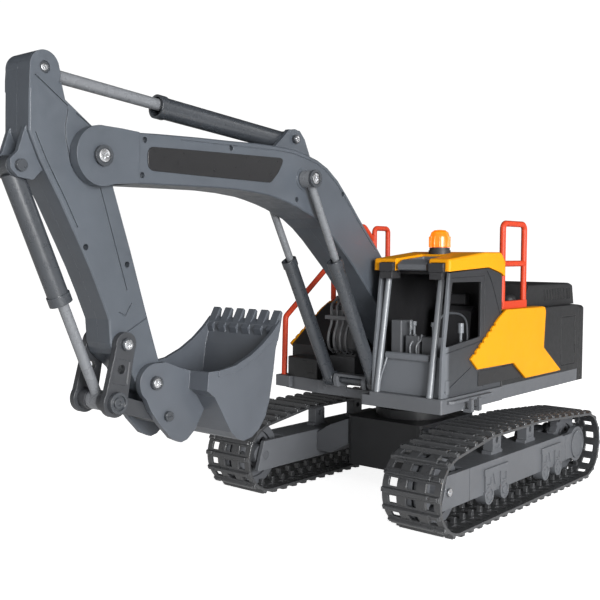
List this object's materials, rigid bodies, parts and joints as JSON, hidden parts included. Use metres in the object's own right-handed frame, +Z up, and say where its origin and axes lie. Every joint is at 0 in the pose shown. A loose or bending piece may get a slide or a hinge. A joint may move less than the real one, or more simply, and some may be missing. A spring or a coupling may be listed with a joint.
{
  "type": "rc excavator",
  "caption": "Radio-controlled tracked excavator with slewing house, cab, two-part boom and arm, linked bucket and telescoping dummy cylinders.",
  "frame": {"origin": "on the ground under the slewing axis, midway between the tracks", "axes": "+X forward along the boom, +Y to the cab side, +Z up"},
  "size_m": [0.6092, 0.24, 0.3256],
  "materials": {
    "boom_plastic": "blue-grey moulded plastic, fine satin texture",
    "house_plastic": "charcoal moulded plastic, satin",
    "cab_plastic": "mid-grey moulded plastic, satin",
    "track_plastic": "black soft plastic, slightly waxy",
    "frame_plastic": "dark grey moulded plastic",
    "yellow_plastic": "yellow-orange satin moulded plastic",
    "red_plastic": "red-orange satin moulded plastic",
    "interior_plastic": "dark interior plastic",
    "rod_plastic": "light grey moulded plastic rod",
    "screw_steel": "bright zinc-plated steel",
    "motor_steel": "plain steel can",
    "gear_plastic": "natural white acetal",
    "hose_rubber": "black soft rubber",
    "amber_lens": "clear amber moulded lens",
    "board_green": "green solder mask",
    "cell_wrap": "shrink-wrapped cells"
  },
  "bodies": {
    "undercarriage": {"carbody": "frame_plastic", "slew_ring": "gear_plastic", "left_track_frame": "frame_plastic", "right_track_frame": "frame_plastic", "left_track_belt": "track_plastic", "right_track_belt": "track_plastic", "travel_motors": "frame_plastic", "undercarriage_screws": "screw_steel"},
    "left_drive_wheel": {"left_sprocket": "track_plastic"},
    "right_drive_wheel": {"right_sprocket": "track_plastic"},
    "left_idler_wheel": {"left_idler": "track_plastic"},
    "right_idler_wheel": {"right_idler": "track_plastic"},
    "superstructure": {"turntable": "frame_plastic", "slew_retainer": "frame_plastic", "slew_motor": "motor_steel", "deck": "cab_plastic", "battery_pack": "cell_wrap", "battery_cover": "house_plastic", "circuit_board": "board_green", "speaker": "interior_plastic", "house_shell": "house_plastic", "engine_hood": "house_plastic", "counterweight": "house_plastic", "left_side_panel": "yellow_plastic", "right_side_panel": "yellow_plastic", "cab_shell": "cab_plastic", "cab_roof": "yellow_plastic", "cab_roof_insert": "cab_plastic", "cab_lamps": "house_plastic", "cab_pillars": "rod_plastic", "cab_seat": "interior_plastic", "cab_console": "cab_plastic", "cab_levers": "interior_plastic", "beacon_base": "interior_plastic", "beacon_lens": "amber_lens", "left_handrail": "red_plastic", "right_handrail": "red_plastic", "tool_box": "house_plastic", "valve_block": "interior_plastic", "hoses": "hose_rubber", "base_pins": "boom_plastic"},
    "slew_drive": {"slew_pinion": "gear_plastic"},
    "switch_slider": {"power_switch": "interior_plastic"},
    "boom": {"boom_left_shell": "boom_plastic", "boom_right_shell": "boom_plastic", "boom_fasteners": "boom_plastic"},
    "arm": {"arm_left_shell": "boom_plastic", "arm_right_shell": "boom_plastic", "arm_fasteners": "boom_plastic"},
    "rocker": {"rocker_links": "boom_plastic", "rocker_pin": "boom_plastic"},
    "link": {"connecting_link": "boom_plastic"},
    "bucket_body": {"bucket": "boom_plastic", "bucket_pins": "boom_plastic"},
    "boom_tubes": {"boom_cylinder_tubes": "boom_plastic"},
    "boom_rods": {"boom_cylinder_rods": "rod_plastic"},
    "stick_tube": {"stick_cylinder_tube": "boom_plastic"},
    "stick_rod": {"stick_cylinder_rod": "rod_plastic"},
    "bucket_tube": {"bucket_cylinder_tube": "boom_plastic"},
    "bucket_rod": {"bucket_cylinder_rod": "rod_plastic"}
  },
  "joints": [
    {"name": "slew", "type": "hinge", "parent": "undercarriage", "child": "superstructure", "pos_m": [0, 0, 0.08], "axis": [0, 0, 1], "range_deg": [-175, 175]},
    {"name": "slew_pinion_spin", "type": "hinge", "parent": "superstructure", "child": "slew_drive", "pos_m": [-0.024, 0, 0.076], "axis": [0, 0, 1], "range_deg": [-530, 530]},
    {"name": "power_switch_slide", "type": "slide", "parent": "superstructure", "child": "switch_slider", "axis": [1, 0, 0], "range_m": [0, 0.003]},
    {"name": "left_sprocket_spin", "type": "hinge", "parent": "undercarriage", "child": "left_drive_wheel", "pos_m": [-0.115, 0.0945, 0.033], "axis": [0, 1, 0], "continuous": true},
    {"name": "right_sprocket_spin", "type": "hinge", "parent": "undercarriage", "child": "right_drive_wheel", "pos_m": [-0.115, -0.0945, 0.033], "axis": [0, 1, 0], "continuous": true},
    {"name": "left_idler_spin", "type": "hinge", "parent": "undercarriage", "child": "left_idler_wheel", "pos_m": [0.115, 0.0945, 0.033], "axis": [0, 1, 0], "continuous": true},
    {"name": "right_idler_spin", "type": "hinge", "parent": "undercarriage", "child": "right_idler_wheel", "pos_m": [0.115, -0.0945, 0.033], "axis": [0, 1, 0], "continuous": true},
    {"name": "boom_lift", "type": "hinge", "parent": "superstructure", "child": "boom", "pos_m": [0.002, 0, 0.112], "axis": [0, -1, 0], "range_deg": [-12, 18]},
    {"name": "arm_swing", "type": "hinge", "parent": "boom", "child": "arm", "pos_m": [0.3644, 0, 0.2687], "axis": [0, -1, 0], "range_deg": [-20, 30]},
    {"name": "bucket_curl", "type": "hinge", "parent": "arm", "child": "bucket_body", "pos_m": [0.3223, 0, 0.1291], "axis": [0, -1, 0], "range_deg": [-8, 90]},
    {"name": "boom_tube_swing", "type": "hinge", "parent": "superstructure", "child": "boom_tubes", "pos_m": [0.0903, 0, 0.1044], "axis": [0, -1, 0], "range_deg": [-14.48, 21.43]},
    {"name": "boom_rod_swing", "type": "hinge", "parent": "boom", "child": "boom_rods", "pos_m": [0.178, 0, 0.267], "axis": [0, -1, 0], "range_deg": [-2.48, 3.43]},
    {"name": "stick_tube_swing", "type": "hinge", "parent": "boom", "child": "stick_tube", "pos_m": [0.1796, 0, 0.2971], "axis": [0, -1, 0], "range_deg": [-3.72, 5.28]},
    {"name": "stick_rod_swing", "type": "hinge", "parent": "arm", "child": "stick_rod", "pos_m": [0.398, 0, 0.316], "axis": [0, -1, 0], "range_deg": [-25.92, 17.48]},
    {"name": "rocker_swing", "type": "hinge", "parent": "arm", "child": "rocker", "pos_m": [0.345, 0, 0.1553], "axis": [0, -1, 0], "range_deg": [-5.88, 60]},
    {"name": "link_swing", "type": "hinge", "parent": "rocker", "child": "link", "pos_m": [0.3532, 0, 0.1202], "axis": [0, -1, 0], "range_deg": [-38.85, 4]},
    {"name": "bucket_tube_swing", "type": "hinge", "parent": "arm", "child": "bucket_tube", "pos_m": [0.4128, 0, 0.2601], "axis": [0, -1, 0], "range_deg": [-1.26, 8.03]},
    {"name": "bucket_rod_swing", "type": "hinge", "parent": "rocker", "child": "bucket_rod", "pos_m": [0.3532, 0, 0.1202], "axis": [0, -1, 0], "range_deg": [-52.58, 5.22]}
  ],
  "couplings": [
    {"joint": "slew_pinion_spin", "follows": "slew", "ratio": 3},
    {"joint": "left_idler_spin", "follows": "left_sprocket_spin", "ratio": 1},
    {"joint": "right_idler_spin", "follows": "right_sprocket_spin", "ratio": 1},
    {"joint": "boom_tube_swing", "follows": "boom_lift", "ratio": 1.157},
    {"joint": "boom_rod_swing", "follows": "boom_lift", "ratio": 0.157},
    {"joint": "stick_tube_swing", "follows": "arm_swing", "ratio": 0.156},
    {"joint": "stick_rod_swing", "follows": "arm_swing", "ratio": -0.844},
    {"joint": "rocker_swing", "follows": "bucket_curl", "ratio": 0.66},
    {"joint": "link_swing", "follows": "bucket_curl", "ratio": -0.425},
    {"joint": "bucket_tube_swing", "follows": "bucket_curl", "ratio": 0.0825},
    {"joint": "bucket_rod_swing", "follows": "bucket_curl", "ratio": -0.5775}
  ]
}
